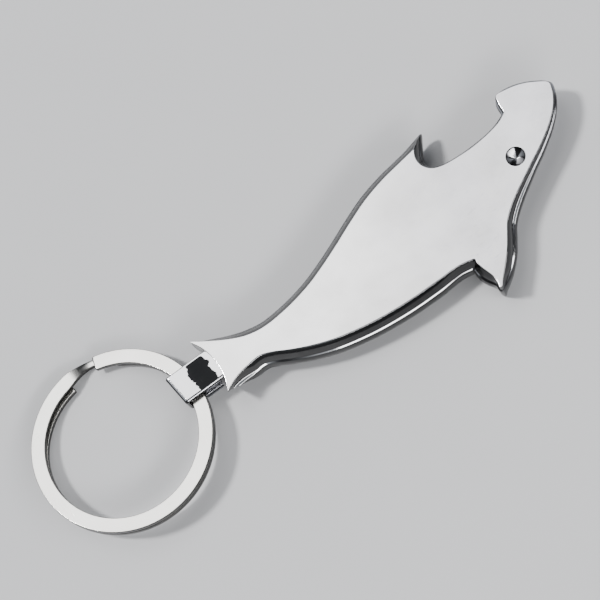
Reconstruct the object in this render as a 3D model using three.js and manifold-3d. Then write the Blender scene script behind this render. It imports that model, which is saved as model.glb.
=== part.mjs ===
// Souvenir bottle opener in the shape of a leaping dolphin, on a split key ring.
// Millimetres. +X runs from the key ring towards the snout, +Y towards the back fin
// and the opener's mouth, +Z up. The opener lies on its flat back at z = 0.
import * as THREE from 'three';
import * as BufferGeometryUtils from 'three/addons/utils/BufferGeometryUtils.js';
import Module from 'manifold-3d';

// Opener: a zinc casting, polished and nickel plated.
const THICKNESS = 6.0;        // front face to back face
const HALF_THICKNESS = THICKNESS / 2;
const SIDE_BOW = 1.65;        // how far the side walls bow out at mid height
const MITRE_LIMIT = 1.7;      // longest corner of the bowed wall, as a multiple of the bow
const FIN_TIP = [3.0, 2.3];   // how far the back fin's tip is drawn out at mid height
const SIDE_LEVELS = 8;        // steps up the bowed side wall

// The head thins towards the snout, all of it from the back.
const HEAD_TAPER_X = 26.0;
const SNOUT_X = 47.5;
const SNOUT_THICKNESS = 3.0;

// The tail's lower tip is undercut: only the front face reaches the point.
const FLUKE_TIP_X = -22.73;
const FLUKE_TIP_Y = -5.6;
const FLUKE_FACING = THREE.MathUtils.degToRad(-107);
const FLUKE_UNDERCUT = 2.4;   // how far the point stands back at the back face

// Eye: a turned conical dimple in the front face.
const EYE_X = 35.6;
const EYE_Y = -5.7;
const EYE_RADIUS = 1.6;
const EYE_DEPTH = 1.2;

// Tail end: a concave arc with a pocket behind it for the link.
const CRESCENT_X = -31.3;
const CRESCENT_Y = -0.25;
const CRESCENT_RADIUS = 10.1;
const TAIL_SKIN = 0.7;        // metal left over the pocket
const MOUTH_LOW_Y = -3.25;    // wide part of the pocket, at the crescent
const MOUTH_HIGH_Y = 2.75;
const MOUTH_END_X = -20.3;
const SLOT_HALF_WIDTH = 1.5;  // narrow part of the pocket, round the link's tongue
const SLOT_END_X = -18.2;

// Cross pin that holds the link in the tail.
const PIN_X = -20.1;
const PIN_Z = 3.0;
const PIN_RADIUS = 0.75;
const PIN_HOLE_RADIUS = 0.8;
const PIN_LOW_Y = -4.2;
const PIN_HIGH_Y = 3.2;

// Link: a strap folded round into a box, open along Y, with a tongue on the pin.
const LINK_LEFT_X = -28.95;
const LINK_RIGHT_X = -21.0;   // end of the top strap, just under the tail's skin
const LINK_BOTTOM_RIGHT_X = -22.5;
const LINK_LOW_Z = 0.45;
const LINK_HIGH_Z = 5.1;
const LINK_LOW_Y = -3.03;
const LINK_HIGH_Y = 2.37;
const STRAP = 0.55;           // strap thickness
const LINK_CORNER = 0.65;     // outside corner radius
const LINK_SKEW = 0.11;       // the end fold is a little out of square
const LINK_YAW = THREE.MathUtils.degToRad(-3.6); // the link sits askew in its slot's play
const TONGUE_Y = -0.4;        // the slot follows the narrow tail, a little off the link's middle
const TONGUE_HALF_WIDTH = 1.2;
const TONGUE_LEFT_X = -23.3;
const TONGUE_RADIUS = 1.55;
const TONGUE_BORE_RADIUS = 1.02;

// Split ring: flat wire wound twice, one coil on the other.
const RING_RADIUS = 15.1;
const WIRE_WIDTH = 2.3;
const WIRE_THICKNESS = 0.92;
const COIL_GAP = 0.12;
const RING_X = -40.7;
const RING_Y = 0.15;
const RING_TILT = THREE.MathUtils.degToRad(-6.5);
const TOP_END_DEG = 73;       // where the upper coil is cut, measured from +X
const JOGGLE_DEG = 22;        // length of the step from the upper coil to the lower
const LOWER_END_GAP_DEG = 5;  // the lower coil stops this far short of the step

const nickel = new THREE.MeshStandardMaterial({ color: 0xd6d6d8, roughness: 0.12, metalness: 1.0 });
const nickelLink = new THREE.MeshStandardMaterial({ color: 0xc9cacd, roughness: 0.16, metalness: 1.0 });
const nickelRing = new THREE.MeshStandardMaterial({ color: 0xdedcd6, roughness: 0.2, metalness: 1.0 });
const pinSteel = new THREE.MeshStandardMaterial({ color: 0xa9abad, roughness: 0.3, metalness: 1.0 });

const wasm = await Module();
wasm.setup();

function toManifold(geometry) {
  let plain = geometry.index ? geometry.toNonIndexed() : geometry.clone();
  plain.deleteAttribute('normal');
  plain.deleteAttribute('uv');
  plain = BufferGeometryUtils.mergeVertices(plain, 1e-5);
  const mesh = new wasm.Mesh({
    numProp: 3,
    vertProperties: new Float32Array(plain.attributes.position.array),
    triVerts: new Uint32Array(plain.index.array),
  });
  return new wasm.Manifold(mesh);
}

function toGeometry(solid) {
  const mesh = solid.getMesh();
  const geometry = new THREE.BufferGeometry();
  geometry.setAttribute('position', new THREE.BufferAttribute(new Float32Array(mesh.vertProperties), 3));
  geometry.setIndex(new THREE.BufferAttribute(new Uint32Array(mesh.triVerts), 1));
  return geometry;
}

function boxBetween(low, high) {
  const geometry = new THREE.BoxGeometry(high[0] - low[0], high[1] - low[1], high[2] - low[2]);
  geometry.translate((low[0] + high[0]) / 2, (low[1] + high[1]) / 2, (low[2] + high[2]) / 2);
  return geometry;
}

// A cylinder along Y from lowY to highY.
function crossCylinder(radius, x, z, lowY, highY, segments) {
  const geometry = new THREE.CylinderGeometry(radius, radius, highY - lowY, segments);
  geometry.translate(x, (lowY + highY) / 2, z);
  return geometry;
}

// A side view in X and Z, made into a plate from lowY to highY.
function sidePlate(shape, lowY, highY, curveSegments) {
  const settings = { depth: highY - lowY, bevelEnabled: false, curveSegments };
  const geometry = new THREE.ExtrudeGeometry(shape, settings);
  geometry.rotateX(Math.PI / 2);
  geometry.translate(0, highY, 0);
  return geometry;
}

// The opener's outline, walked anticlockwise from the upper tip of the tail.
// Each entry is a vertex of the front face with how far the wall bows out there.
// A drawn-out vertex moves by its own X and Y instead of along the outward mitre.
const outline = [];

function addVertex(x, y, bow, drawnOut = null) {
  outline.push({ x, y, bow, drawnOut });
}

// Adds a smooth curve through the points, without its last point, which starts the next stretch.
function addCurve(points, stepsPerSpan, startBow, endBow, rampLength) {
  const curve = new THREE.SplineCurve(points.map((p) => new THREE.Vector2(p[0], p[1])));
  const count = stepsPerSpan * (points.length - 1);
  const length = curve.getLength();
  const samples = curve.getPoints(count);
  for (let i = 0; i < count; i += 1) {
    const along = (i / count) * length;
    const fromStart = Math.min(1, along / rampLength);
    const toEnd = Math.min(1, (length - along) / rampLength);
    const full = SIDE_BOW;
    const startPart = startBow + (full - startBow) * fromStart;
    const endPart = endBow + (full - endBow) * toEnd;
    addVertex(samples[i].x, samples[i].y, Math.min(startPart, endPart, full));
  }
}

// Tail crescent, straight walled.
const upperTip = Math.atan2(5.0 - CRESCENT_Y, 8.63);
const lowerTip = Math.atan2(-5.6 - CRESCENT_Y, 8.57);
const crescentSteps = 14;
for (let i = 0; i < crescentSteps; i += 1) {
  const angle = upperTip + ((lowerTip - upperTip) * i) / crescentSteps;
  const x = CRESCENT_X + CRESCENT_RADIUS * Math.cos(angle);
  const y = CRESCENT_Y + CRESCENT_RADIUS * Math.sin(angle);
  addVertex(x, y, 0);
}

// Belly, from the lower tip of the tail to the chest fin.
addCurve([
  [-22.73, -5.6], [-21.3, -5.0], [-19.6, -4.5], [-17.5, -4.3], [-15.3, -4.3],
  [-13.3, -5.2], [-11.0, -6.7], [-8.0, -8.4], [-4.4, -10.0], [-0.2, -11.3],
  [3.8, -12.2], [8.5, -12.9], [13.2, -13.3], [17.6, -13.6],
], 2, 0.1, 1.5, 4);
addVertex(17.6, -13.6, 1.5);
addVertex(20.3, -14.4, 1.0);

// Chest fin: rear edge, tip and front edge up to the throat.
addVertex(20.5, -17.2, 1.2);
addVertex(20.8, -19.0, 1.0);
addVertex(20.6, -20.1, 0.5);
addVertex(20.3, -20.6, 0.3);
addVertex(20.7, -20.7, 0.3);
addVertex(21.6, -19.9, 0.6);
addVertex(22.8, -18.8, 1.0);
addVertex(24.0, -17.7, 1.2);
addVertex(25.3, -16.4, 1.25);
addVertex(26.7, -14.7, 1.25);
addVertex(28.1, -13.0, 1.2);
addVertex(29.8, -11.7, 1.1);

// Lower jaw and snout.
addVertex(32.1, -10.4, 0.95);
addVertex(34.4, -9.3, 0.8);
addVertex(36.7, -8.2, 0.7);
addVertex(39.4, -7.0, 0.6);
addVertex(42.2, -5.5, 0.5);
addVertex(44.0, -4.3, 0.45);
addVertex(45.4, -3.1, 0.4);
addVertex(46.5, -1.7, 0.4);
addVertex(47.3, 0.0, 0.4);
addVertex(47.2, 0.5, 0.4);
addVertex(46.6, 1.1, 0.45);
addVertex(45.7, 1.8, 0.5);
addVertex(44.7, 2.5, 0.55);
addVertex(43.6, 3.1, 0.6);
addVertex(42.3, 3.6, 0.6);
addVertex(40.9, 4.0, 0.5);

// Lip that catches under the crown cap.
addVertex(39.9, 4.25, 0.25);
addVertex(39.4, 4.05, 0.25);
addVertex(38.9, 1.8, 0.5);

// Mouth of the opener, up to the tip of the back fin.
addVertex(38.95, 1.2, 0.6);
addVertex(37.2, 0.45, 0.8);
addVertex(35.0, 0.1, 0.8);
addVertex(32.8, 0.0, 0.8);
addVertex(30.8, 0.05, 0.8);
addVertex(29.0, 0.25, 0.8);
addVertex(27.3, 0.5, 0.8);
addVertex(26.0, 0.8, 0.8);
addVertex(25.0, 1.2, 0.8);
addVertex(24.3, 1.7, 0.8);
addVertex(23.8, 2.35, 0.8);
addVertex(23.45, 3.2, 0.8);
addVertex(23.4, 4.1, 0.8);
addVertex(23.6, 4.9, 0.9, [1.5, 0.5]);

// The back fin's tip, drawn out past the flat face.
addVertex(24.24, 5.92, SIDE_BOW, FIN_TIP);
addVertex(22.6, 5.8, SIDE_BOW, [0.9, 1.7]);

// Back, down to the upper tip of the tail.
addCurve([
  [20.9, 5.66], [17.2, 5.3], [13.1, 4.5], [9.0, 3.2],
  [4.8, 1.7], [0.9, 0.45], [-2.6, -0.45], [-7.0, -1.05], [-11.6, -1.1],
  [-14.9, -0.3], [-17.8, 1.3], [-20.4, 3.2], [-22.67, 5.0],
], 2, 1.6, 0.1, 4);

function bowAtHeight(z) {
  const fromMiddle = (z - HALF_THICKNESS) / HALF_THICKNESS;
  return 1 - fromMiddle * fromMiddle;
}

// Which way each vertex moves when the wall bows out: the mitre of its two edges.
function outwardMitre(points, index) {
  const before = points[(index + points.length - 1) % points.length];
  const here = points[index];
  const after = points[(index + 1) % points.length];
  const firstNormal = new THREE.Vector2(here.y - before.y, before.x - here.x).normalize();
  const secondNormal = new THREE.Vector2(after.y - here.y, here.x - after.x).normalize();
  const mitre = firstNormal.clone().add(secondNormal);
  mitre.divideScalar(1 + firstNormal.dot(secondNormal));
  return mitre.clampLength(0, MITRE_LIMIT);
}

function bowedSlab() {
  const count = outline.length;
  const positions = [];
  const index = [];
  const mitres = outline.map((vertex, i) => outwardMitre(outline, i));
  for (let level = 0; level <= SIDE_LEVELS; level += 1) {
    const z = (THICKNESS * level) / SIDE_LEVELS;
    outline.forEach((vertex, i) => {
      const bow = bowAtHeight(z);
      const out = vertex.drawnOut ?? [mitres[i].x * vertex.bow, mitres[i].y * vertex.bow];
      positions.push(vertex.x + out[0] * bow, vertex.y + out[1] * bow, z);
    });
  }
  for (let level = 0; level < SIDE_LEVELS; level += 1) {
    for (let i = 0; i < count; i += 1) {
      const next = (i + 1) % count;
      const low = level * count;
      const high = low + count;
      index.push(low + i, low + next, high + next);
      index.push(low + i, high + next, high + i);
    }
  }
  const contour = outline.map((vertex) => new THREE.Vector2(vertex.x, vertex.y));
  const top = SIDE_LEVELS * count;
  THREE.ShapeUtils.triangulateShape(contour, []).forEach(([a, b, c]) => {
    index.push(top + a, top + b, top + c);
    index.push(a, c, b);
  });
  const geometry = new THREE.BufferGeometry();
  geometry.setAttribute('position', new THREE.Float32BufferAttribute(positions, 3));
  geometry.setIndex(index);
  return geometry;
}

// What the thinning head leaves out below its sloping back.
function headTaperWedge() {
  const slope = (THICKNESS - SNOUT_THICKNESS) / (SNOUT_X - HEAD_TAPER_X);
  const side = new THREE.Shape();
  side.moveTo(HEAD_TAPER_X - 1 / slope, -1);
  side.lineTo(HEAD_TAPER_X + 6 / slope, -1);
  side.lineTo(HEAD_TAPER_X + 6 / slope, 6);
  side.closePath();
  return sidePlate(side, -30, 30, 1);
}

// What the undercut takes off below the tail's lower tip.
function flukeWedge() {
  const side = new THREE.Shape();
  side.moveTo(0, THICKNESS);
  side.lineTo(-FLUKE_UNDERCUT * 1.2, -THICKNESS * 0.2);
  side.lineTo(6, -THICKNESS * 0.2);
  side.lineTo(6, THICKNESS);
  side.closePath();
  const geometry = sidePlate(side, -6, 6, 1);
  geometry.rotateZ(FLUKE_FACING);
  geometry.translate(FLUKE_TIP_X, FLUKE_TIP_Y, 0);
  return geometry;
}

function openerGeometry() {
  const eye = new THREE.ConeGeometry(EYE_RADIUS * 1.5, EYE_DEPTH * 1.5, 40);
  eye.rotateX(-Math.PI / 2);
  eye.translate(EYE_X, EYE_Y, THICKNESS - EYE_DEPTH * 0.25);
  const roof = THICKNESS - TAIL_SKIN;
  const mouthPocket = boxBetween(
    [CRESCENT_X, MOUTH_LOW_Y, -1],
    [MOUTH_END_X, MOUTH_HIGH_Y, roof],
  );
  const slotPocket = boxBetween(
    [CRESCENT_X, TONGUE_Y - SLOT_HALF_WIDTH, -1],
    [SLOT_END_X, TONGUE_Y + SLOT_HALF_WIDTH, roof],
  );
  const pinHole = crossCylinder(PIN_HOLE_RADIUS, PIN_X, PIN_Z, PIN_LOW_Y - 0.1, 8, 28);
  const solid = toManifold(bowedSlab())
    .subtract(toManifold(eye))
    .subtract(toManifold(headTaperWedge()))
    .subtract(toManifold(flukeWedge()))
    .subtract(toManifold(mouthPocket))
    .subtract(toManifold(slotPocket))
    .subtract(toManifold(pinHole));
  return toGeometry(solid);
}

function pinGeometry() {
  const chamfer = 0.2;
  const half = (PIN_HIGH_Y - PIN_LOW_Y) / 2;
  const profile = [
    new THREE.Vector2(0, -half),
    new THREE.Vector2(PIN_RADIUS - chamfer, -half),
    new THREE.Vector2(PIN_RADIUS, -half + chamfer),
    new THREE.Vector2(PIN_RADIUS, half - chamfer),
    new THREE.Vector2(PIN_RADIUS - chamfer, half),
    new THREE.Vector2(0, half),
  ];
  const geometry = new THREE.LatheGeometry(profile, 28);
  geometry.translate(PIN_X, (PIN_LOW_Y + PIN_HIGH_Y) / 2, PIN_Z);
  return geometry;
}

function linkGeometry() {
  const strap = new THREE.Shape();
  const insideLeft = LINK_LEFT_X + STRAP;
  const insideLow = LINK_LOW_Z + STRAP;
  const insideHigh = LINK_HIGH_Z - STRAP;
  const insideCorner = LINK_CORNER - STRAP;
  const cornerX = LINK_LEFT_X + LINK_CORNER;
  const highCorner = LINK_HIGH_Z - LINK_CORNER;
  const lowCorner = LINK_LOW_Z + LINK_CORNER;
  const quarter = Math.PI / 2;
  strap.moveTo(LINK_RIGHT_X, insideHigh);
  strap.lineTo(LINK_RIGHT_X, LINK_HIGH_Z);
  strap.lineTo(cornerX, LINK_HIGH_Z);
  strap.absarc(cornerX, highCorner, LINK_CORNER, quarter, 2 * quarter, false);
  strap.lineTo(LINK_LEFT_X, lowCorner);
  strap.absarc(cornerX, lowCorner, LINK_CORNER, 2 * quarter, 3 * quarter, false);
  strap.lineTo(LINK_BOTTOM_RIGHT_X, LINK_LOW_Z);
  strap.lineTo(LINK_BOTTOM_RIGHT_X, insideLow);
  strap.lineTo(cornerX, insideLow);
  strap.absarc(cornerX, lowCorner, insideCorner, 3 * quarter, 2 * quarter, true);
  strap.lineTo(insideLeft, highCorner);
  strap.absarc(cornerX, highCorner, insideCorner, 2 * quarter, quarter, true);
  strap.closePath();

  const tongue = new THREE.Shape();
  const eyeStart = THREE.MathUtils.degToRad(-110);
  const eyeEnd = THREE.MathUtils.degToRad(110);
  tongue.moveTo(TONGUE_LEFT_X, LINK_HIGH_Z);
  tongue.lineTo(TONGUE_LEFT_X, LINK_LOW_Z);
  tongue.lineTo(LINK_BOTTOM_RIGHT_X, LINK_LOW_Z);
  tongue.absarc(PIN_X, PIN_Z, TONGUE_RADIUS, eyeStart, eyeEnd, false);
  tongue.lineTo(LINK_RIGHT_X - 0.6, LINK_HIGH_Z);
  tongue.closePath();
  const bore = new THREE.Path();
  bore.absarc(PIN_X, PIN_Z, TONGUE_BORE_RADIUS, 0, 2 * Math.PI, true);
  tongue.holes.push(bore);

  // The end fold leans a little, so the link is longer on its +Y side.
  const strapPlate = sidePlate(strap, LINK_LOW_Y, LINK_HIGH_Y, 6);
  const place = strapPlate.attributes.position;
  for (let i = 0; i < place.count; i += 1) {
    if (place.getX(i) < LINK_LEFT_X + LINK_CORNER + 0.1) {
      place.setX(i, place.getX(i) - LINK_SKEW * (place.getY(i) - LINK_LOW_Y));
    }
  }
  const strapSolid = toManifold(strapPlate);
  const tongueLow = TONGUE_Y - TONGUE_HALF_WIDTH;
  const tongueHigh = TONGUE_Y + TONGUE_HALF_WIDTH;
  const tongueSolid = toManifold(sidePlate(tongue, tongueLow, tongueHigh, 16));
  const geometry = toGeometry(strapSolid.add(tongueSolid));
  geometry.translate(-PIN_X, -TONGUE_Y, 0);
  geometry.rotateZ(LINK_YAW);
  geometry.translate(PIN_X, TONGUE_Y, 0);
  return geometry;
}

// One turn of the wire is at one height, then a short step takes it down to the next.
function ringGeometry() {
  const corner = 0.12;
  const halfWidth = WIRE_WIDTH / 2;
  const halfThick = WIRE_THICKNESS / 2;
  const section = [
    [halfWidth, -halfThick + corner], [halfWidth, halfThick - corner],
    [halfWidth - corner, halfThick], [-halfWidth + corner, halfThick],
    [-halfWidth, halfThick - corner], [-halfWidth, -halfThick + corner],
    [-halfWidth + corner, -halfThick], [halfWidth - corner, -halfThick],
  ];
  const layer = (WIRE_THICKNESS + COIL_GAP) / 2;
  const upperTurn = 360 - JOGGLE_DEG;
  const lowerTurn = 360 - JOGGLE_DEG - LOWER_END_GAP_DEG;
  const totalTurn = upperTurn + JOGGLE_DEG + lowerTurn;
  const steps = 150;
  const positions = [];
  const index = [];
  for (let i = 0; i <= steps; i += 1) {
    const turned = (totalTurn * i) / steps;
    const angle = THREE.MathUtils.degToRad(TOP_END_DEG - turned);
    const throughStep = THREE.MathUtils.clamp((turned - upperTurn) / JOGGLE_DEG, 0, 1);
    const drop = THREE.MathUtils.smoothstep(throughStep, 0, 1);
    const height = layer * (1 - 2 * drop);
    section.forEach(([across, up]) => {
      const radius = RING_RADIUS - halfWidth + across;
      positions.push(radius * Math.cos(angle), radius * Math.sin(angle), height + up);
    });
  }
  const around = section.length;
  for (let i = 0; i < steps; i += 1) {
    for (let k = 0; k < around; k += 1) {
      const next = (k + 1) % around;
      const here = i * around;
      const ahead = here + around;
      index.push(here + k, here + next, ahead + next);
      index.push(here + k, ahead + next, ahead + k);
    }
  }
  const last = steps * around;
  for (let k = 1; k < around - 1; k += 1) {
    index.push(0, k + 1, k);
    index.push(last, last + k, last + k + 1);
  }
  const geometry = new THREE.BufferGeometry();
  geometry.setAttribute('position', new THREE.Float32BufferAttribute(positions, 3));
  geometry.setIndex(index);
  geometry.rotateX(RING_TILT);
  geometry.computeBoundingBox();
  geometry.translate(RING_X, RING_Y, -geometry.boundingBox.min.z);
  return geometry;
}

function named(name, geometry, material) {
  const mesh = new THREE.Mesh(geometry, material);
  mesh.name = name;
  return mesh;
}

const assembly = new THREE.Group();
assembly.add(named('opener_body', openerGeometry(), nickel));
assembly.add(named('link_pin', pinGeometry(), pinSteel));
assembly.add(named('ring_link', linkGeometry(), nickelLink));
assembly.add(named('split_ring', ringGeometry(), nickelRing));

// The frame's origin is the middle of the footprint, on the surface the opener lies on.
const extent = new THREE.Box3().setFromObject(assembly, true);
const middle = extent.getCenter(new THREE.Vector3());
assembly.position.set(-middle.x, -middle.y, -extent.min.z);

const part = new THREE.Group();
part.name = 'souvenir_bottle_opener';
part.add(assembly);

export default part;
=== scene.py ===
import math

import bmesh
import bpy
from mathutils import Matrix, Vector


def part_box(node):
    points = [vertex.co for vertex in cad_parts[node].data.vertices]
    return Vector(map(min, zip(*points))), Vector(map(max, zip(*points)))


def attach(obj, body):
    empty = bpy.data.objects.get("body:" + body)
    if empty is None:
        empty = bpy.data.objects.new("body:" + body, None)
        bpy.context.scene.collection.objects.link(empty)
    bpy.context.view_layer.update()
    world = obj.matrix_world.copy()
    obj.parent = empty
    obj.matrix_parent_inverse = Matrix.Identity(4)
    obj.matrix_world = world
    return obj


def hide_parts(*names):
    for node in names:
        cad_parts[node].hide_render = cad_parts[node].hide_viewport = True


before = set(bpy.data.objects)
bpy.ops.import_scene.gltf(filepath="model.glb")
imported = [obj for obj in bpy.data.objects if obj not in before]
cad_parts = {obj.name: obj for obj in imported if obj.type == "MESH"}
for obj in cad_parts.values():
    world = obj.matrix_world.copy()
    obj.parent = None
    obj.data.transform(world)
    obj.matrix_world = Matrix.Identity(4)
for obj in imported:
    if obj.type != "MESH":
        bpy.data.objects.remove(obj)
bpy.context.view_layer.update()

# Sizes are in millimetres in the tail's frame: X towards the snout, Y towards the mouth
# and the back fin, and Z up from the opener's back, which lies on the floor.
MM = 0.001

# The casting.
THICKNESS = 6.0
HALF = THICKNESS / 2
BOW = 1.65               # how far the side walls bow out along the belly and the back
BODY_EDGE = 0.12         # how far the edges of its faces are softened
STEP_Z = 4.2             # the step that the trimming die leaves high on the side walls
STEP_HEIGHT = 0.3
STEP_DEPTH = 0.2
FLASH_Z = 1.75           # the line of flash lower down
FLASH_DEPTH = 0.07
CRESCENT = (-31.3, -0.25)
CRESCENT_RADIUS = 10.1
UPPER_TIP = (-22.45, 4.62)
LOWER_TIP = (-22.73, -5.6)
FIN_TIP = (24.24, 5.92)
FIN_DRAWN = (3.0, 2.3)   # how far the back fin's tip is drawn out at mid height
HEAD_TAPER_X = 26.0      # the head thins from here to the snout, from the back
SNOUT_X = 47.5
SNOUT_THICKNESS = 3.0
FLUKE_FACING = math.radians(-107)
FLUKE_UNDERCUT = 2.4
EYE = (35.6, -5.7)
EYE_DEPTH = 1.2
TAIL_SKIN = 0.7

# The cross pin and the link.
PIN_X = -20.1
PIN_Z = 3.0
PIN_MIDDLE_Y = -0.5
TONGUE_Y = -0.4
LINK_LEFT, LINK_RIGHT = -28.95, -21.0
LINK_NEAR, LINK_FAR = -3.03, 2.37
LINK_LOW, LINK_HIGH = 0.45, 5.1
LINK_RETURN_X = -22.5    # where the strap's lower end stops
LINK_CORNER = 0.65
STRAP = 0.55
LINK_YAW = math.radians(-3.6)
LINK_SKEW = 0.11
LINK_SAG = 0.05

# The split ring. It starts at its upper end and is wound clockwise, seen from above.
RING_OUTER = 15.098
RING_MIDDLE = 13.9
RING_CENTRE = (-40.7, 0.15)
RING_TILT = math.radians(-6.5)
RING_START = 73          # the upper end's direction, in degrees
RING_STEP = 22           # the degrees in which the wire steps down
RING_PINCH = 0.55        # how much of the wire's width is pinched off at the step
RING_SPRING = 0.55       # how far its lower end springs inwards
WIRE_WIDTH = 2.3
WIRE_THICKNESS = 0.92
COIL_GAP = 0.12

# The row frame is centred on the footprint, so the tail's frame is moved to it. The
# cross pin's box says how far.
pin_low, pin_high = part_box("link_pin")
SHIFT_X = (pin_low.x + pin_high.x) / 2 / MM - PIN_X
SHIFT_Y = (pin_low.y + pin_high.y) / 2 / MM - PIN_MIDDLE_Y


# ------------------------------------------------------------ curves and mesh helpers

def ease(t):
    """0 below 0, 1 above 1, and a smooth rise between."""
    t = min(max(t, 0.0), 1.0)
    return t * t * (3 - 2 * t)


def catmull(points, per_span):
    """A smooth curve through the points, without its last point."""
    out = []
    last = len(points) - 1
    for i in range(last):
        p0 = points[max(i - 1, 0)]
        p1 = points[i]
        p2 = points[i + 1]
        p3 = points[min(i + 2, last)]
        for k in range(per_span):
            t = k / per_span
            out.append(tuple(
                0.5 * (2 * b + (c - a) * t + (2 * a - 5 * b + 4 * c - d) * t * t
                       + (3 * b - a - 3 * c + d) * t ** 3)
                for a, b, c, d in zip(p0, p1, p2, p3)))
    return out


def resample(points, spacing):
    """Even spacing along a polyline, first point kept, last left out."""
    lengths = [0.0]
    for a, b in zip(points, points[1:]):
        lengths.append(lengths[-1] + math.hypot(b[0] - a[0], b[1] - a[1]))
    count = max(2, round(lengths[-1] / spacing))
    out = []
    j = 0
    for k in range(count):
        target = lengths[-1] * k / count
        while lengths[j + 1] < target:
            j += 1
        t = (target - lengths[j]) / max(lengths[j + 1] - lengths[j], 1e-9)
        out.append(tuple(a + (b - a) * t for a, b in zip(points[j], points[j + 1])))
    return out


def relax(points, rounds):
    """Evens out a closed run of points."""
    n = len(points)
    for _ in range(rounds):
        points = [(points[i - 1] + points[i] * 2 + points[(i + 1) % n]) / 4 for i in range(n)]
    return points


def line(a, b, steps):
    """Points from a towards b, without b."""
    return [(a[0] + (b[0] - a[0]) * k / steps, a[1] + (b[1] - a[1]) * k / steps) for k in range(steps)]


def arc(cx, cy, radius, start, end, steps):
    """Points round a centre, from one angle to another in degrees, both ends kept."""
    out = []
    for k in range(steps + 1):
        a = math.radians(start + (end - start) * k / steps)
        out.append((cx + radius * math.cos(a), cy + radius * math.sin(a)))
    return out


def new_object(name, data):
    obj = bpy.data.objects.new(name, data)
    bpy.context.scene.collection.objects.link(obj)
    return obj


def side_faces(count, levels, first=0):
    """Faces between rings of vertices, the first ring starting at vertex first."""
    faces = []
    for level in range(levels - 1):
        low = first + level * count
        high = low + count
        for i in range(count):
            n = (i + 1) % count
            faces.append((low + i, low + n, high + n, high + i))
    return faces


def capped_faces(count, levels):
    """The same, closed at both ends."""
    last = (levels - 1) * count
    caps = [tuple(range(count - 1, -1, -1)), tuple(range(last, last + count))]
    return side_faces(count, levels) + caps


def flipped(faces):
    return [tuple(reversed(face)) for face in faces]


def solid(name, verts, faces):
    """A closed mesh object from points in millimetres in the tail's frame."""
    mesh = bpy.data.meshes.new(name)
    mesh.from_pydata([((x + SHIFT_X) * MM, (y + SHIFT_Y) * MM, z * MM) for x, y, z in verts], [], faces)
    mesh.validate()
    bm = bmesh.new()
    bm.from_mesh(mesh)
    bmesh.ops.recalc_face_normals(bm, faces=bm.faces)
    bm.to_mesh(mesh)
    bm.free()
    mesh.update()
    return new_object(name, mesh)


def combine(obj, tools, operation):
    """Cuts the tools from the object, or joins them to it, and removes them."""
    for tool in tools:
        mod = obj.modifiers.new("combine", "BOOLEAN")
        mod.operation = operation
        mod.solver = "EXACT"
        mod.object = tool
    bpy.context.view_layer.update()
    graph = bpy.context.evaluated_depsgraph_get()
    mesh = bpy.data.meshes.new_from_object(obj.evaluated_get(graph))
    old = obj.data
    obj.modifiers.clear()
    obj.data = mesh
    bpy.data.meshes.remove(old)
    for tool in tools:
        mesh = tool.data
        bpy.data.objects.remove(tool)
        bpy.data.meshes.remove(mesh)


def smooth(obj, degrees):
    mesh = obj.data
    mesh.shade_smooth()
    mesh.set_sharp_from_angle(angle=math.radians(degrees))
    mod = obj.modifiers.new("weighted", "WEIGHTED_NORMAL")
    mod.keep_sharp = True
    mod.weight = 100


def cross_cylinder(name, radius, low_y, high_y, segments=48):
    """A cylinder along the cross pin's axis."""
    verts = []
    for y in (low_y, high_y):
        for k in range(segments):
            a = 2 * math.pi * k / segments
            verts.append((PIN_X + radius * math.cos(a), y, PIN_Z + radius * math.sin(a)))
    return solid(name, verts, capped_faces(segments, 2))


# ------------------------------------------------------------ the casting's outline

OUTLINE_SPACING = 0.22
CORNER_TURN = 0.2        # the sine of the gentlest turn that counts as a corner
CORNER_REACH = 32        # how many vertices each side of an inward corner give way to it
CORNER_FAN = 5           # how many vertices each side of an outward corner fan out


def crescent():
    """The tail's hollow end, from its upper tip to its lower one."""
    ends = []
    for x, y in (UPPER_TIP, LOWER_TIP):
        ends.append(math.degrees(math.atan2(y - CRESCENT[1], x - CRESCENT[0])))
    return [(x, y, 0.0) for x, y in arc(*CRESCENT, CRESCENT_RADIUS, *ends, 12)]


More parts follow.
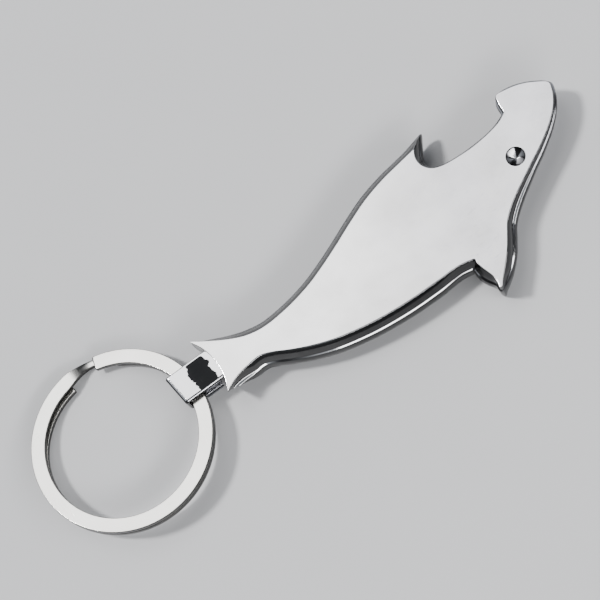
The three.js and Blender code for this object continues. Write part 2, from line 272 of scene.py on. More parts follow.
# Stretches of the front face's outline, anticlockwise. Each point has its place and how
# far the wall bows out there. A stretch meets the next at a corner.
STRETCHES = {
    "crescent": crescent(),
    "belly": [
        (*LOWER_TIP, 0.1), (-21.3, -5.0, 0.7), (-19.6, -4.5, 1.25), (-17.5, -4.3, 1.6),
        (-15.3, -4.3, BOW), (-13.3, -5.2, BOW), (-11.0, -6.7, BOW), (-8.0, -8.4, BOW),
        (-4.4, -10.0, BOW), (-0.2, -11.3, BOW), (3.8, -12.2, BOW), (8.5, -12.9, BOW),
        (13.2, -13.3, 1.6), (17.6, -13.6, 1.5), (20.3, -14.4, 1.3),
    ],
    "fin_rear": [
        (20.3, -14.4, 1.3), (20.25, -15.8, 1.3), (20.5, -17.2, 1.25), (20.8, -18.6, 1.0),
        (20.7, -19.7, 0.6), (20.3, -20.6, 0.3),
    ],
    "throat": [
        (20.3, -20.6, 0.3), (20.7, -20.7, 0.3), (21.6, -19.9, 0.6), (22.8, -18.8, 1.0),
        (24.0, -17.7, 1.2), (25.3, -16.4, 1.25), (26.7, -14.7, 1.25), (28.1, -13.0, 1.2),
        (29.8, -11.7, 1.1), (32.1, -10.4, 0.95), (34.4, -9.3, 0.8), (36.7, -8.2, 0.7),
        (39.4, -7.0, 0.6), (42.2, -5.5, 0.5), (44.0, -4.3, 0.45), (45.4, -3.1, 0.4),
        (46.5, -1.7, 0.4), (47.15, -0.4, 0.4), (47.3, 0.0, 0.4),
    ],
    "snout": [
        (47.3, 0.0, 0.4), (47.2, 0.5, 0.4), (46.6, 1.1, 0.45), (45.7, 1.8, 0.5),
        (44.7, 2.5, 0.55), (43.6, 3.1, 0.6), (42.3, 3.6, 0.6), (40.9, 4.0, 0.5), (39.9, 4.25, 0.25),
    ],
    "lip": [
        (39.9, 4.25, 0.25), (39.4, 4.05, 0.25), (39.05, 2.9, 0.45), (38.9, 1.8, 0.5),
        (38.95, 1.2, 0.6),
    ],
    "mouth": [
        (38.95, 1.2, 0.6), (37.2, 0.45, 0.8), (35.0, 0.1, 0.8), (32.8, 0.0, 0.8),
        (30.8, 0.05, 0.8), (29.0, 0.25, 0.8), (27.3, 0.5, 0.8), (26.0, 0.8, 0.8),
        (25.0, 1.2, 0.8), (24.3, 1.7, 0.8), (23.8, 2.35, 0.8), (23.45, 3.2, 0.8),
        (23.4, 4.1, 0.85), (23.6, 4.9, 0.95), (*FIN_TIP, 1.9),
    ],
    "back": [
        (*FIN_TIP, 1.9), (22.6, 5.8, 1.45), (20.9, 5.66, 1.55), (17.2, 5.3, 1.6),
        (13.1, 4.5, BOW), (9.0, 3.2, BOW), (4.8, 1.7, BOW), (0.9, 0.45, BOW),
        (-2.6, -0.45, BOW), (-7.0, -1.05, BOW), (-11.6, -1.1, BOW), (-14.9, -0.3, 1.6),
        (-17.8, 1.3, 1.2), (-20.4, 3.2, 0.7), (-22.315, 4.734, 0.1),
    ],
}


def trace_outline():
    """The fine outline, and the vertex at which each stretch begins."""
    points = []
    starts = {}
    for name, stretch in STRETCHES.items():
        starts[name] = len(points)
        points.extend(resample(catmull(stretch, 16) + [stretch[-1]], OUTLINE_SPACING))
    # The upper tip of the tail is rounded.
    points.extend((x, y, 0.1) for x, y in arc(-22.371, 4.663, 0.09, 51.6, 208.8, 10)[:-1])
    return points, starts


outline, corners = trace_outline()
COUNT = len(outline)


def edge_normal(i):
    """The outward normal between a vertex and the next."""
    a, b = outline[i % COUNT], outline[(i + 1) % COUNT]
    return Vector((b[1] - a[1], a[0] - b[0])).normalized()


def spread_inward_corner(directions, corner, before, after):
    """The two walls' points move along their walls as well, so the widened outlines
    never cross."""
    shift = math.tan(0.5 * math.acos(max(-1, min(1, before.dot(after)))))
    for k in range(1, CORNER_REACH):
        amount = shift * (1 - k / CORNER_REACH)
        directions[(corner - k) % COUNT] += Vector((before.y, -before.x)) * amount
        directions[(corner + k) % COUNT] += Vector((-after.y, after.x)) * amount
    directions[corner] = (before + after) / (1 + before.dot(after))


def fan_outward_corner(directions, corner, before, after):
    """The neighbours turn gradually from one wall to the other."""
    for k in range(-CORNER_FAN, CORNER_FAN + 1):
        turned = ease(0.5 + 0.5 * k / CORNER_FAN)
        directions[(corner + k) % COUNT] = before.lerp(after, turned).normalized()


def outward_directions():
    """The way each vertex moves when the outline widens."""
    directions = [(edge_normal(i - 1) + edge_normal(i)).normalized() for i in range(COUNT)]
    for corner in corners.values():
        before, after = edge_normal(corner - 1), edge_normal(corner)
        turn = before.x * after.y - before.y * after.x
        if turn <= -CORNER_TURN:
            spread_inward_corner(directions, corner, before, after)
        elif turn >= CORNER_TURN:
            fan_outward_corner(directions, corner, before, after)
    return directions


def widening_moves():
    """How far each vertex moves where the wall is widest. Round the back fin's tip the
    wall is drawn out into a claw instead of following the outline."""
    moves = [d * bow for d, (_, _, bow) in zip(directions, outline)]
    for k in range(-12, 20):
        i = (corners["back"] + k) % COUNT
        away = math.hypot(outline[i][0] - FIN_TIP[0], outline[i][1] - FIN_TIP[1])
        if k < 0:
            shares = ((0.0, FIN_DRAWN), (1.2, (1.5, 0.5)), (2.2, tuple(moves[i])))
        else:
            shares = ((0.0, FIN_DRAWN), (1.64, (0.9, 1.7)), (3.4, tuple(moves[i])))
        for (near, near_move), (far, far_move) in zip(shares, shares[1:]):
            if near <= away <= far:
                moves[i] = Vector(near_move).lerp(Vector(far_move), (away - near) / (far - near))
                break
    return moves


def edge_scales():
    """The edge radius closes in towards the thin upper tip of the tail."""
    return [min(1.0, 0.3 + 0.7 * math.hypot(x + 22.4, y - 4.65) / 2.2) for x, y, _ in outline]


directions = outward_directions()
moves = widening_moves()
scales = edge_scales()


def step_breadth(x, y):
    """The step is broader by the tail's lower tip and under the throat."""
    breadth = STEP_DEPTH
    if y < 0:
        breadth += 0.22 * max(0.0, 1 - ((x + 20.5) / 3.2) ** 2)
    if y < -8:
        breadth += 0.16 * max(0.0, 1 - ((x - 30.0) / 7.0) ** 2)
    return breadth


def outline_at(z, inset):
    """The outline at a height, as a list of vectors."""
    off_middle = (z - HALF) / HALF
    wide = 1 - off_middle * off_middle
    # The wall is set back at the step and comes out again towards the face.
    step = ease((z - STEP_Z) / STEP_HEIGHT) * min(1.0, (THICKNESS - z) / 1.5)
    flash = FLASH_DEPTH * ease((z - FLASH_Z) / 0.12) * (1 - ease((z - FLASH_Z - 0.15) / 1.6))
    points = []
    for (x, y, bow), d, move, scale in zip(outline, directions, moves, scales):
        back = inset * scale + step * min(step_breadth(x, y), 0.6 * bow) + flash * min(1.0, bow)
        points.append(Vector((x + move.x * wide - d.x * back, y + move.y * wide - d.y * back)))
    return points


# ------------------------------------------------------------ the casting

def body_rows():
    """Each row's height and how far it is set in. Rows are close at the flash and the step."""
    edge = []
    for degrees in (0, 25, 50, 75, 90):
        a = math.radians(degrees)
        edge.append((BODY_EDGE * 0.5 * (1 - math.cos(a)), BODY_EDGE * (1 - math.sin(a))))
    heights = [0.25 + 0.25 * k for k in range(6)] + [1.7, 1.75, 1.79, 1.83, 1.87, 1.92, 2.0]
    heights += [2.2 + 0.25 * k for k in range(8)] + [4.12, 4.18]
    heights += [4.22 + 0.04 * k for k in range(8)] + [4.6 + 0.2 * k for k in range(7)]
    rows = edge + [(z, 0.0) for z in heights]
    return rows + [(THICKNESS - z, inset) for z, inset in reversed(edge)]


def taper_head(mesh):
    """Thins the head from the back, in proportion, from the throat to the snout."""
    start = (HEAD_TAPER_X + SHIFT_X) * MM
    slope = (THICKNESS - SNOUT_THICKNESS) / (SNOUT_X - HEAD_TAPER_X)
    bm = bmesh.new()
    bm.from_mesh(mesh)
    bmesh.ops.bisect_plane(bm, geom=bm.verts[:] + bm.edges[:] + bm.faces[:], dist=1e-7,
                           plane_co=(start, 0, 0), plane_no=(1, 0, 0))
    for vert in bm.verts:
        rise = max(0.0, vert.co.x - start) * slope
        vert.co.z = rise + vert.co.z * (1 - rise / (THICKNESS * MM))
    bm.to_mesh(mesh)
    bm.free()


def eye_cutter():
    """A cone with a rounded rim, as radii and depths below the face."""
    segments = 72
    profile = ((0.12, EYE_DEPTH - 0.05), (0.8, 0.66), (1.48, 0.2), (1.55, 0.13), (1.59, 0.03),
               (1.62, -0.01), (1.72, -0.03), (1.72, -0.6))
    verts = [(*EYE, THICKNESS - EYE_DEPTH)]
    for radius, depth in profile:
        for k in range(segments):
            a = 2 * math.pi * k / segments
            verts.append((EYE[0] + radius * math.cos(a), EYE[1] + radius * math.sin(a), THICKNESS - depth))
    faces = [(0, 1 + (k + 1) % segments, 1 + k) for k in range(segments)]
    faces += side_faces(segments, len(profile), first=1)
    last = 1 + (len(profile) - 1) * segments
    faces.append(tuple(range(last, last + segments)))
    return solid("eye_cut", verts, faces)


def fluke_cutter():
    """What the undercut takes off below the tail's lower tip."""
    along = (math.cos(FLUKE_FACING), math.sin(FLUKE_FACING))
    slope = FLUKE_UNDERCUT / THICKNESS
    low, high, beyond = -1.2, THICKNESS + 0.5, 6
    side = [(0.5 * slope, high), (-(THICKNESS - low) * slope, low), (beyond, low), (beyond, high)]
    verts = []
    for across in (-beyond, beyond):
        for out, z in side:
            verts.append((LOWER_TIP[0] + along[0] * out - along[1] * across,
                          LOWER_TIP[1] + along[1] * out + along[0] * across, z))
    return solid("fluke_cut", verts, capped_faces(4, 2))


def pocket_cutter():
    """The tail's pocket: wide at the crescent, narrow round the tongue."""
    plan = [(-31.4, 2.75), (-31.4, -3.25)]
    plan += arc(-20.55, -3.0, 0.25, 270, 360, 5)
    plan += [(-20.3, -1.9)]
    plan += arc(-18.6, -1.5, 0.4, 270, 360, 5)
    plan += arc(-18.6, 0.7, 0.4, 0, 90, 5)
    plan += [(-20.3, 1.1)]
    plan += arc(-20.55, 2.5, 0.25, 0, 90, 5)
    verts = [(x, y, z) for z in (-1.07, THICKNESS - TAIL_SKIN) for x, y in plan]
    return solid("tail_pocket", verts, capped_faces(len(plan), 2))


def build_body():
    rows = body_rows()
    verts = []
    for z, inset in rows:
        verts.extend((p.x, p.y, z) for p in relax(outline_at(z, inset), 2))
    obj = solid("dolphin_opener", verts, capped_faces(COUNT, len(rows)))
    taper_head(obj.data)
    for cutter in (eye_cutter(), fluke_cutter(), pocket_cutter(), cross_cylinder("pin_hole", 0.8, -4.3, 8)):
        combine(obj, [cutter], "DIFFERENCE")
    smooth(obj, 30)
    return obj


# ------------------------------------------------------------ the link

def plate_from_profile(name, profile, low_y, high_y, edge, inner=None):
    """A side view in X and Z, extruded along Y with a chamfered near edge and a rounded
    far one. Right of inner's first value, and between its other two in height, the edges
    are softened less."""
    points = [Vector(p) for p in profile]
    mitres = []
    for i, point in enumerate(points):
        a = point - points[i - 1]
        b = points[(i + 1) % len(points)] - point
        normal_a = Vector((a.y, -a.x)).normalized()
        normal_b = Vector((b.y, -b.x)).normalized()
        mitres.append((normal_a + normal_b) / max(0.35, 1 + normal_a.dot(normal_b)))
    rows = [(low_y, edge), (low_y + edge * 0.12, edge * 0.74), (low_y + edge * 0.55, edge * 0.4),
            (low_y + edge, edge * 0.07), (low_y + edge * 1.2, 0.0)]
    middle_rows = 24
    for k in range(1, middle_rows):
        rows.append((low_y + 1.2 * edge + (high_y - low_y - 2.2 * edge) * k / middle_rows, 0.0))
    rows += [(high_y - edge, 0.0), (high_y - edge * 0.5, edge * 0.13),
             (high_y - edge * 0.13, edge * 0.5), (high_y, edge)]
    verts = []
    for y, inset in rows:
        for point, mitre in zip(points, mitres):
            keep = 0.25 if inner and point.x > inner[0] and inner[1] < point.y < inner[2] else 1.0
            moved = point - mitre * inset * keep
            verts.append((moved.x, y, moved.y))
    return solid(name, verts, flipped(capped_faces(len(points), len(rows))))


def strap_profile():
    """The folded strap from the side, from its upper end round to its lower one and back."""
    left, right, low, high = LINK_LEFT, LINK_RIGHT, LINK_LOW, LINK_HIGH
    corner = LINK_CORNER
    inner = corner - STRAP
    inner_left, inner_low, inner_high = left + STRAP, low + STRAP, high - STRAP
    profile = line((right, high), (left + corner, high), 44)
    profile += arc(left + corner, high - corner, corner, 90, 180, 12)
    profile += arc(left + corner, low + corner, corner, 180, 270, 12)
    profile += line((left + corner, low), (LINK_RETURN_X, low), 12)[1:]
    profile += [(LINK_RETURN_X, low), (LINK_RETURN_X, inner_low)]
    profile += line((LINK_RETURN_X, inner_low), (inner_left + inner, inner_low), 10)[1:]
    profile += arc(inner_left + inner, inner_low + inner, inner, 270, 180, 4)
    profile += arc(inner_left + inner, inner_high - inner, inner, 180, 90, 4)
    profile += line((inner_left + inner, inner_high), (right, inner_high), 32)[1:]
    return profile + [(right, inner_high)]


def tongue_profile():
    """The tongue from the side: it closes the box and goes round the pin."""
    left = LINK_RETURN_X - 0.8
    profile = [(left, LINK_HIGH - 0.6), (left, LINK_LOW + 0.02), (LINK_RETURN_X, LINK_LOW + 0.02)]
    profile += arc(PIN_X, PIN_Z, 1.55, -110, 110, 28)
    profile += [(LINK_RIGHT - 0.6, LINK_HIGH - 0.02), (LINK_RIGHT - 1.0, LINK_HIGH - 0.02)]
    return profile + [(LINK_RIGHT - 1.1, LINK_HIGH - 0.6)]


def shape_link(mesh):
    """The fold leans, the top strap sags a little, and the whole link sits askew."""
    for vert in mesh.vertices:
        x = vert.co.x / MM - SHIFT_X
        y = vert.co.y / MM - SHIFT_Y
        z = vert.co.z / MM
        if z > LINK_HIGH - 0.7 and x < LINK_RIGHT - 0.3:
            along = (x - LINK_LEFT) / 7.4
            across = (y - LINK_NEAR) / (LINK_FAR - LINK_NEAR)
            dent = ease((along - 0.2) / 0.3) * (1 - ease((along - 0.6) / 0.3))
            z -= LINK_SAG * dent * (1 - across)
        if x < LINK_LEFT + 0.75:
            x -= LINK_SKEW * (y - LINK_NEAR)
        dx, dy = x - PIN_X, y - TONGUE_Y
        x = PIN_X + dx * math.cos(LINK_YAW) - dy * math.sin(LINK_YAW)
        y = TONGUE_Y + dx * math.sin(LINK_YAW) + dy * math.cos(LINK_YAW)
        vert.co = ((x + SHIFT_X) * MM, (y + SHIFT_Y) * MM, z * MM)


def build_link():
    inside = (LINK_LEFT + STRAP - 0.1, LINK_LOW + STRAP - 0.1, LINK_HIGH - STRAP + 0.1)
    obj = plate_from_profile("ring_strap_link", strap_profile(), LINK_NEAR, LINK_FAR, 0.26, inside)
    tongue = plate_from_profile("tongue_block", tongue_profile(), TONGUE_Y - 1.2, TONGUE_Y + 1.2, 0.1)
    combine(obj, [tongue], "UNION")
    combine(obj, [cross_cylinder("bore", 1.02, -5, 5)], "DIFFERENCE")
    shape_link(obj.data)
    smooth(obj, 30)
    return obj


# ------------------------------------------------------------ the split ring

def wire_section(half_width, half_height, corner):
    """A rounded rectangle round the wire's middle, as (across, up)."""
    x, z = half_width - corner, half_height - corner
    section = []
    for cx, cz, start in ((x, z, 0), (-x, z, 90), (-x, -z, 180), (x, -z, 270)):
        section += arc(cx, cz, corner, start, start + 90, 5)
    return section


def build_ring():
    half_width, half_height = WIRE_WIDTH / 2, WIRE_THICKNESS / 2
    section = wire_section(half_width, half_height, 0.1)
    layer = (WIRE_THICKNESS + COIL_GAP) / 2
    upper = 360 - RING_STEP
    # The lower coil stops a degree short of the step.
    total = 2 * upper + RING_STEP - 1
    steps = 520
    end_rows = 7
    end_radius = 0.22
    verts = []
    for i in range(-end_rows, steps + end_rows + 1):
        row = min(max(i, 0), steps)
        # The cut ends are tumbled, so their edges close in over the last few rows.
        beyond = abs(i - row) / end_rows
        close = end_radius * (1 - math.sqrt(1 - beyond ** 2))
        turned = total * row / steps
        a = math.radians(RING_START - turned) + math.copysign(end_radius * beyond / RING_MIDDLE, row - i)
        height = layer * (1 - 2 * ease((turned - upper) / RING_STEP))
        # The wire is pinched narrow where it steps down, and springs inwards at its end.
        pinch = RING_PINCH * ease((turned - upper + 4) / 24) * (1 - ease((turned - 364) / 14))
        inwards = RING_SPRING * ease((turned - total + 80) / 80)
        for across, up in section:
            out = across * (half_width - close) / half_width
            out = half_width - (half_width - out) * (1 - pinch) - inwards
            radius = RING_OUTER - half_width + out
            x, y = radius * math.cos(a), radius * math.sin(a)
            z = height + up * (half_height - close) / half_height
            verts.append((x, y * math.cos(RING_TILT) - z * math.sin(RING_TILT),
                          y * math.sin(RING_TILT) + z * math.cos(RING_TILT)))
    low = min(z for _, _, z in verts)
    rows = len(verts) // len(section)
    verts = [(x + RING_CENTRE[0], y + RING_CENTRE[1], z - low) for x, y, z in verts]
    obj = solid("key_split_ring", verts, flipped(capped_faces(len(section), rows)))
    smooth(obj, 40)
    return obj


body = build_body()
link = build_link()
ring = build_ring()
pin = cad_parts["link_pin"]


# ------------------------------------------------------------ shader helpers

def material(name):
    mat = bpy.data.materials.new(name)
    mat.use_nodes = True
    nodes = mat.node_tree.nodes
    return mat, nodes, mat.node_tree.links, nodes["Principled BSDF"]


def feed(links, socket, value):
    """Sets a socket to a value, or links another node's output to it."""
    if isinstance(value, bpy.types.NodeSocket):
        links.new(value, socket)
    else:
        socket.default_value = value


def noise(nodes, links, coord, scale, detail=3.0, rough=0.55):
    tex = nodes.new("ShaderNodeTexNoise")
    tex.inputs["Scale"].default_value = scale
    tex.inputs["Detail"].default_value = detail
    tex.inputs["Roughness"].default_value = rough
    links.new(coord, tex.inputs["Vector"])
    return tex.outputs["Fac"]


def ramp(nodes, links, value, low, high, out_low, out_high):
    node = nodes.new("ShaderNodeMapRange")
    node.inputs["From Min"].default_value = low
    node.inputs["From Max"].default_value = high
    node.inputs["To Min"].default_value = out_low
    node.inputs["To Max"].default_value = out_high
    links.new(value, node.inputs["Value"])
    return node.outputs["Result"]


def maths(nodes, links, operation, a, b=0.0):
    node = nodes.new("ShaderNodeMath")
    node.operation = operation
    feed(links, node.inputs[0], a)
    feed(links, node.inputs[1], b)
    return node.outputs["Value"]


def vector_maths(nodes, links, operation, a, b):
    node = nodes.new("ShaderNodeVectorMath")
    node.operation = operation
    feed(links, node.inputs[0], a)
    feed(links, node.inputs["Scale" if operation == "SCALE" else 1], b)
    return node.outputs["Value" if operation == "DOT_PRODUCT" else "Vector"]


def mixed(nodes, links, factor, a, b, blend="MIX"):
    """A mix of two colours, each a value or a socket."""
    node = nodes.new("ShaderNodeMix")
    node.data_type = "RGBA"
    node.blend_type = blend
    feed(links, node.inputs["Factor"], factor)
    feed(links, node.inputs["A"], a)
    feed(links, node.inputs["B"], b)
    return node.outputs["Result"]


def bump(nodes, links, height, strength, distance, invert=False, normal=None):
    node = nodes.new("ShaderNodeBump")
    node.invert = invert
    node.inputs["Strength"].default_value = strength
    node.inputs["Distance"].default_value = distance
    links.new(height, node.inputs["Height"])
    if normal:
        links.new(normal, node.inputs["Normal"])
    return node.outputs["Normal"]


def upright(nodes, links):
    """The Z part of the surface's own normal: 1 on top, 0 on an upright wall."""
    split = nodes.new("ShaderNodeSeparateXYZ")
    links.new(nodes.new("ShaderNodeTexCoord").outputs["Normal"], split.inputs["Vector"])
    return split.outputs["Z"]


def along_axis(nodes, links, coord, axis, start, length):
    """0 at the start point and 1 a length further along an axis."""
    away = vector_maths(nodes, links, "SUBTRACT", coord, start)
    return ramp(nodes, links, vector_maths(nodes, links, "DOT_PRODUCT", away, axis), 0.0, length, 0.0, 1.0)


# ------------------------------------------------------------ materials

def hairlines(nodes, links, coord):
    """Hairline scratches in three directions: 1 on a scratch, 0 beside it."""
    lines = 0.0
    for stretch, spin, low, high in (((420.0, 9000.0, 2500.0), 0.45, 0.66, 0.74),
                                     ((9500.0, 380.0, 2500.0), 0.2, 0.68, 0.76),
                                     ((300.0, 7000.0, 2500.0), -0.75, 0.69, 0.76)):
        mapping = nodes.new("ShaderNodeMapping")
        mapping.inputs["Scale"].default_value = stretch
        mapping.inputs["Rotation"].default_value = (0, 0, spin)
        links.new(coord, mapping.inputs["Vector"])
        hair = noise(nodes, links, mapping.outputs["Vector"], 1.0, 2.0, 0.5)
        lines = maths(nodes, links, "MAXIMUM", ramp(nodes, links, hair, low, high, 0.0, 1.0), lines)
    return lines


def plated(name, tint, dark, rough, wave, scratch, side, wave_scale=220.0, wall_turn=(0.72, 0.86)):
    """Polished bright plate: slight waves left by the polishing wheel, hairline
    scratches, handling haze and stains. The walls are painted darker, a painted shade that
    stands in for dark reflections: side is how bright the walls are painted, and wall_turn
    is how upright the surface's normal is where the painted shade begins to give way to the
    bright plate and where it ends."""
    mat, nodes, links, bsdf = material(name)
    coord = nodes.new("ShaderNodeTexCoord").outputs["Object"]
    bsdf.inputs["Metallic"].default_value = 1.0

    haze = noise(nodes, links, coord, 170.0, 4.0, 0.6)
    grain = noise(nodes, links, coord, 2600.0, 3.0, 0.6)
    lines = hairlines(nodes, links, coord)
    roughness = ramp(nodes, links, haze, 0.32, 0.7, *rough)
    for detail, amount in ((lines, 0.10 * scratch), (grain, 0.02)):
        added = maths(nodes, links, "MULTIPLY", detail, amount)
        roughness = maths(nodes, links, "ADD", roughness, added)
    links.new(roughness, bsdf.inputs["Roughness"])

    patch = noise(nodes, links, coord, 90.0, 5.0, 0.6)
    plate = mixed(nodes, links, ramp(nodes, links, patch, 0.38, 0.75, 0.0, 0.7), (*tint, 1), (*dark, 1))
    # Painted shade: the walls' colour is darkened by how far their normal turns from upright, standing in
    # for dark reflections. side sets how bright they are painted, varied a little at random.
    painted_wall_shade = ramp(nodes, links, patch, 0.3, 0.75, side * 1.25, side * 0.8)
    level = maths(nodes, links, "ABSOLUTE", upright(nodes, links))
    level = ramp(nodes, links, level, *wall_turn, 0.0, 1.0)
    lift = maths(nodes, links, "MULTIPLY", maths(nodes, links, "SUBTRACT", 1.0, painted_wall_shade), level)
    shade = maths(nodes, links, "ADD", painted_wall_shade, lift)
    links.new(mixed(nodes, links, 1.0, plate, shade, "MULTIPLY"), bsdf.inputs["Base Color"])

    waves = bump(nodes, links, noise(nodes, links, coord, wave_scale, 2.0, 0.4), 1.0, wave * MM)
    normal = bump(nodes, links, lines, scratch, 0.0025 * MM, invert=True, normal=waves)
    links.new(normal, bsdf.inputs["Normal"])
    return mat


def casting_plate():
    """The plate is painted darker towards the snout, a painted shade that dims the face's reflection there,
    broken up by a cloud noise.
    """
    # side: the casting's walls are painted dark, a painted shade standing in for dark reflections.
    mat = plated("plated_casting", tint=(0.86, 0.86, 0.865), dark=(0.66, 0.65, 0.64),
                 rough=(0.06, 0.15), wave=0.012, scratch=0.5, side=0.085)
    nodes, links = mat.node_tree.nodes, mat.node_tree.links
    base = nodes["Principled BSDF"].inputs["Base Color"]
    coord = nodes.new("ShaderNodeTexCoord").outputs["Object"]
    along = along_axis(nodes, links, coord, (1, 0, 0), ((-20 + SHIFT_X) * MM, 0, 0), 68 * MM)
    cloud = ramp(nodes, links, noise(nodes, links, coord, 55.0, 4.0), 0.3, 0.7, -0.22, 0.22)
    # Painted shade: the colour is darkened towards the snout, by up to about a third.
    painted_dimming = ramp(nodes, links, maths(nodes, links, "ADD", along, cloud), 0.25, 1.0, 0.0, 1.0)
    plate = base.links[0].from_socket
    links.new(mixed(nodes, links, painted_dimming, plate, (0.65, 0.65, 0.68, 1), "MULTIPLY"), base)
    return mat


def strap_plate():
    """The strap's middle is pushed a few degrees out of flat, with a ragged edge."""
    # side: the strap's edges and walls are painted dark, a painted shade standing in for dark reflections.
    mat = plated("plated_strap", tint=(0.82, 0.82, 0.835), dark=(0.66, 0.66, 0.68),
                 rough=(0.04, 0.10), wave=0.010, scratch=0.4, side=0.05, wave_scale=260.0)
    nodes, links = mat.node_tree.nodes, mat.node_tree.links
    normal = nodes["Principled BSDF"].inputs["Normal"]
    coord = nodes.new("ShaderNodeTexCoord").outputs["Object"]
    axis = (math.cos(LINK_YAW), math.sin(LINK_YAW), 0)
    start = ((-29.18 + SHIFT_X) * MM, (0.24 + SHIFT_Y) * MM, 0)
    along = along_axis(nodes, links, coord, axis, start, 10 * MM)
    ragged = ramp(nodes, links, noise(nodes, links, coord, 620.0), 0.3, 0.7, -0.045, 0.045)
    along = maths(nodes, links, "ADD", along, ragged)
    rise = ramp(nodes, links, along, 0.305, 0.335, 0.0, 1.0)
    fall = ramp(nodes, links, along, 0.665, 0.695, 1.0, 0.0)
    flat = ramp(nodes, links, upright(nodes, links), 0.9, 0.97, 0.0, 1.0)
    amount = maths(nodes, links, "MULTIPLY", maths(nodes, links, "MULTIPLY", rise, fall), flat)
    turn = nodes.new("ShaderNodeVectorTransform")
    turn.vector_type = "VECTOR"
    turn.convert_from = "OBJECT"
    turn.convert_to = "WORLD"
    links.new(vector_maths(nodes, links, "SCALE", (0.02, -0.15, 0.0), amount), turn.inputs["Vector"])
    tilted = vector_maths(nodes, links, "ADD", normal.links[0].from_socket, turn.outputs["Vector"])
    unit = nodes.new("ShaderNodeVectorMath")
    unit.operation = "NORMALIZE"
    links.new(tilted, unit.inputs[0])
    links.new(unit.outputs["Vector"], normal)
    return mat


def wire_plate():
    """Spring wire, painted darker wherever it turns away from flat: a painted shade standing in for dark
    reflections on its rounded sides.
    """
    # side: the wire's turned surfaces are painted dark, a painted shade standing in for dark reflections.
    return plated("plated_wire", tint=(0.88, 0.865, 0.83), dark=(0.78, 0.765, 0.73),
                  rough=(0.14, 0.26), wave=0.01, scratch=0.6, side=0.08, wall_turn=(0.952, 0.985))


def pin_steel():
    # side: the pin's walls are painted somewhat darker, a painted shade standing in for dark reflections.
    return plated("pin_steel", tint=(0.66, 0.67, 0.68), dark=(0.42, 0.43, 0.44),
                  rough=(0.25, 0.42), wave=0.01, scratch=0.9, side=0.6)


for obj, mat in ((body, casting_plate()), (link, strap_plate()), (ring, wire_plate()), (pin, pin_steel())):
    obj.data.materials.clear()
    obj.data.materials.append(mat)

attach(body, "opener")
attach(link, "link")
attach(ring, "ring")
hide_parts("opener_body")
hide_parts("ring_link")
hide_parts("split_ring")


# ------------------------------------------------------------ floor, lights, camera

FLOOR_HALF = 1.6         # metres
WALL_LOW = 0.16          # how bright the studio's walls are at the table's edge
WALL_HIGH = 0.62         # and higher up
# Black flags beside the table: each one's direction, and how many degrees from its middle
# its soft edge begins and ends.
FLAGS = (((-0.80, -0.27, 0.535), 31.0, 25.0), ((0.774, -0.333, 0.538), 19.0, 13.0))

CAM_ELEVATION = math.radians(72.2)
CAM_ROLL = math.radians(39.4)
FOCAL_LENGTH = 180.0     # on a 36 mm sensor
SENSOR_WIDTH = 36.0
AIM = ((-4.82 + SHIFT_X) * MM, (-1.45 + SHIFT_Y) * MM, THICKNESS * MM)
VIEW_WIDTH = 94.34 * MM  # what the picture's width shows at the aim


def add_floor():
    mesh = bpy.data.meshes.new("floor")
    s = FLOOR_HALF
    mesh.from_pydata([(-s, -s, 0), (s, -s, 0), (s, s, 0), (-s, s, 0)], [], [(0, 1, 2, 3)])
    mat, nodes, links, bsdf = material("floor_pale")
    coord = nodes.new("ShaderNodeTexCoord").outputs["Object"]
    cloud = noise(nodes, links, coord, 30.0)
    pale = mixed(nodes, links, cloud, (0.66, 0.66, 0.67, 1), (0.62, 0.62, 0.63, 1))
    links.new(pale, bsdf.inputs["Base Color"])
    bsdf.inputs["Roughness"].default_value = 0.8
    mesh.materials.append(mat)
    new_object("floor", mesh)


def add_lamp(name, where, width, height, power):
    """A rectangular softbox aimed at the middle of the part."""
    lamp = bpy.data.lights.new(name, "AREA")
    lamp.shape = "RECTANGLE"
    lamp.size = width
    lamp.size_y = height
    lamp.energy = power
    obj = new_object(name, lamp)
    obj.location = where
    obj.rotation_euler = (-Vector(where)).to_track_quat("-Z", "Y").to_euler()


def add_sun():
    sun = bpy.data.lights.new("key_light", "SUN")
    sun.energy = 2.8
    sun.angle = math.radians(9)
    obj = new_object("key_light", sun)
    obj.rotation_euler = Vector((0.72, -0.66, -1.38)).to_track_quat("-Z", "Y").to_euler()


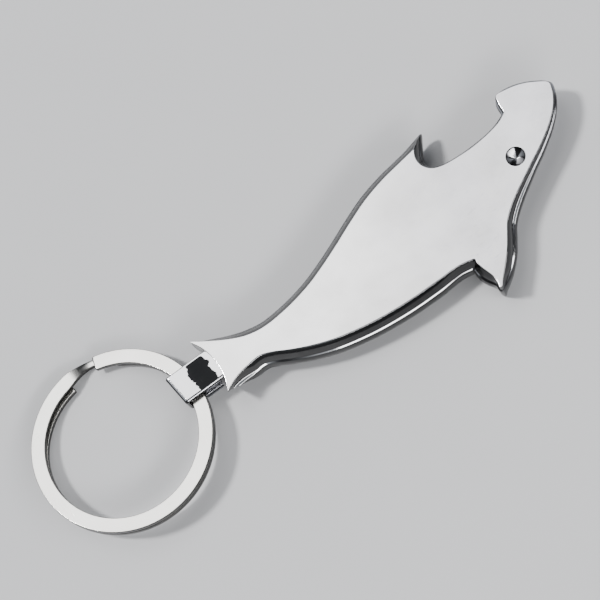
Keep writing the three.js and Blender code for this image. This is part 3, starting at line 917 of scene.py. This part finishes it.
def add_studio_world():
    """Pale walls round the table, darker above the lamps and at two black flags."""
    world = bpy.data.worlds.new("studio")
    bpy.context.scene.world = world
    world.use_nodes = True
    nodes, links = world.node_tree.nodes, world.node_tree.links
    direction = nodes.new("ShaderNodeTexCoord").outputs["Generated"]
    split = nodes.new("ShaderNodeSeparateXYZ")
    links.new(direction, split.inputs["Vector"])
    walls = ramp(nodes, links, split.outputs["Z"], 0.02, 0.40, WALL_LOW, WALL_HIGH)
    ceiling = ramp(nodes, links, split.outputs["Z"], 0.72, 0.90, 1.0, 0.06)
    light = maths(nodes, links, "MULTIPLY", walls, ceiling)
    for flag, begins, ends in FLAGS:
        nearness = vector_maths(nodes, links, "DOT_PRODUCT", direction, flag)
        outer, inner = math.cos(math.radians(begins)), math.cos(math.radians(ends))
        shade = ramp(nodes, links, nearness, outer, inner, 1.0, 0.05)
        light = maths(nodes, links, "MULTIPLY", light, shade)
    nodes["Background"].inputs["Color"].default_value = (0.90, 0.94, 1.0, 1)
    links.new(light, nodes["Background"].inputs["Strength"])


def add_camera():
    """Looks from the belly's side, rolled so that the opener lies across the picture."""
    toward = Vector((0, -math.cos(CAM_ELEVATION), math.sin(CAM_ELEVATION)))
    level_right = Vector((1, 0, 0))
    level_up = toward.cross(level_right)
    right = level_right * math.cos(CAM_ROLL) - level_up * math.sin(CAM_ROLL)
    up = level_right * math.sin(CAM_ROLL) + level_up * math.cos(CAM_ROLL)
    data = bpy.data.cameras.new("camera")
    data.sensor_fit = "HORIZONTAL"
    data.sensor_width = SENSOR_WIDTH
    data.lens = FOCAL_LENGTH
    data.clip_start = 0.02
    camera = new_object("camera", data)
    basis = Matrix((right, up, toward)).transposed().to_4x4()
    basis.translation = Vector(AIM) + toward * VIEW_WIDTH * FOCAL_LENGTH / SENSOR_WIDTH
    camera.matrix_world = basis
    bpy.context.scene.camera = camera


add_floor()
add_sun()
add_lamp("overhead_softbox", (0.0, 0.290, 0.582), 0.36, 0.34, 1.15)
add_lamp("front_strip", (0.0, -0.50, 0.34), 0.5, 0.12, 1.6)
add_lamp("right_strip", (0.42, -0.42, 0.36), 0.34, 0.14, 1.1)
add_studio_world()
add_camera()
